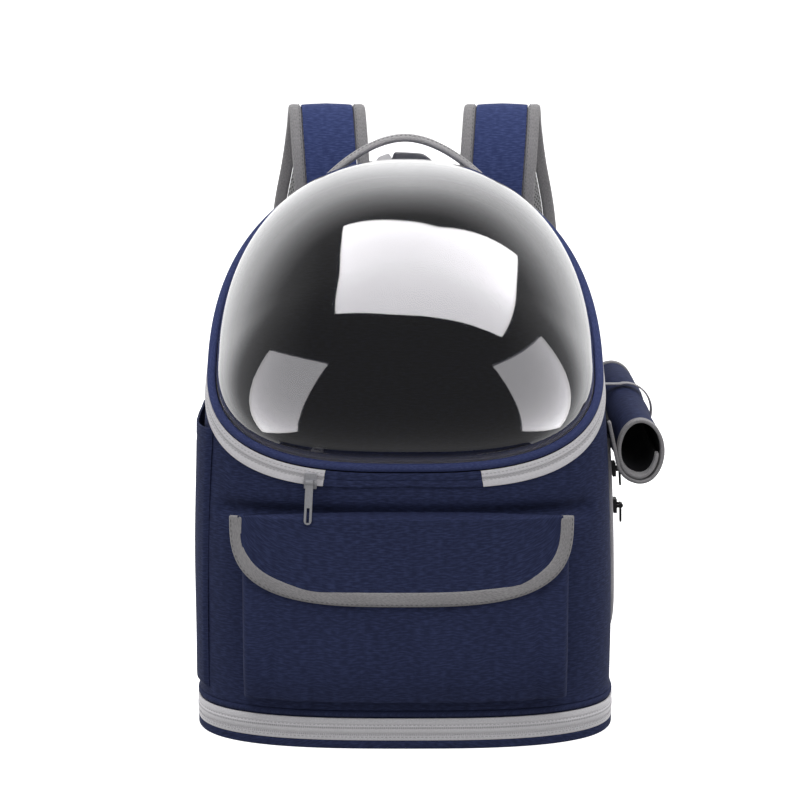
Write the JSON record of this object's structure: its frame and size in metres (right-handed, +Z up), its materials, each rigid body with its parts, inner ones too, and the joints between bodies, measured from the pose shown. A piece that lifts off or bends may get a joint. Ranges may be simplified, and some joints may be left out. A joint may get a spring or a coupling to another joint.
{
  "type": "pet carrier backpack",
  "caption": "Soft pet carrier backpack with a padded base, a zipped dome door, a flap pocket, a mesh side window, an open side pocket and two shoulder straps.",
  "frame": {"origin": "middle of the base's underside, on the surface that the carrier stands on", "axes": "+Z up, the dome and the flap pocket face -Y, +X to the right of someone who looks at the dome"},
  "size_m": [0.3668, 0.3676, 0.4774],
  "materials": {
    "navy_cloth": "dark blue heathered weave, matte",
    "strap_cloth": "dark blue weave, matte",
    "piping_cloth": "dark blue weave over a cord, matte",
    "grey_binding": "grey ribbed binding tape, matte",
    "zip_tape": "pale grey zip tape and coil",
    "tie_tape": "pale grey elastic tape",
    "black_mesh": "black open mesh",
    "black_cloth": "black cloth, matte",
    "back_mesh": "dark grey padded mesh",
    "pale_mesh": "light grey padded mesh",
    "black_webbing": "black woven webbing",
    "black_plastic": "moulded, satin",
    "pull_metal": "plated die casting, gunmetal",
    "clear_dome": "clear glossy moulded plastic, lightly smoked"
  },
  "bodies": {
    "bag": {"base_tray": "navy_cloth", "base_zip": "zip_tape", "base_piping": "navy_cloth", "body_shell": "navy_cloth", "side_mesh": "black_mesh", "side_zip": "zip_tape", "dome_frame": "black_cloth", "door_piping": "piping_cloth", "dome": "clear_dome", "door_zip": "zip_tape", "door_hinge": "navy_cloth", "front_pocket": "navy_cloth", "pocket_flap": "navy_cloth", "flap_binding": "grey_binding", "carry_handle": "grey_binding", "hang_loop": "grey_binding", "window_roll": "navy_cloth", "roll_binding_front": "grey_binding", "roll_binding_rear": "grey_binding", "roll_tie": "tie_tape", "side_pocket": "navy_cloth", "door_slider": "pull_metal", "side_upper_slider": "black_plastic", "side_lower_slider": "black_plastic", "back_pad": "back_mesh", "strap_left_face": "strap_cloth", "strap_left_mesh": "pale_mesh", "strap_left_inner_edge": "grey_binding", "strap_left_outer_edge": "grey_binding", "strap_left_buckle": "black_plastic", "strap_left_tab": "black_webbing", "strap_left_webbing": "black_webbing", "strap_left_anchor": "navy_cloth", "strap_right_face": "strap_cloth", "strap_right_mesh": "pale_mesh", "strap_right_inner_edge": "grey_binding", "strap_right_outer_edge": "grey_binding", "strap_right_buckle": "black_plastic", "strap_right_tab": "black_webbing", "strap_right_webbing": "black_webbing", "strap_right_anchor": "navy_cloth"},
    "door_pull": {"door_pull": "pull_metal"},
    "side_upper_pull": {"side_upper_pull": "black_plastic"},
    "side_lower_pull": {"side_lower_pull": "black_plastic"}
  },
  "joints": [
    {"name": "door_pull_swing", "type": "hinge", "parent": "bag", "child": "door_pull", "pos_m": [-0.06962, -0.13745, 0.20558], "axis": [-0.9934, 0.1104, 0.0318], "range_deg": [0, 100]},
    {"name": "side_upper_pull_swing", "type": "hinge", "parent": "bag", "child": "side_upper_pull", "pos_m": [0.16655, -0.05208, 0.19741], "axis": [-0.0109, -0.999, -0.0428], "range_deg": [0, 60]},
    {"name": "side_lower_pull_swing", "type": "hinge", "parent": "bag", "child": "side_lower_pull", "pos_m": [0.16805, -0.05208, 0.16817], "axis": [-0.0139, -0.9995, -0.0286], "range_deg": [0, 100]}
  ]
}
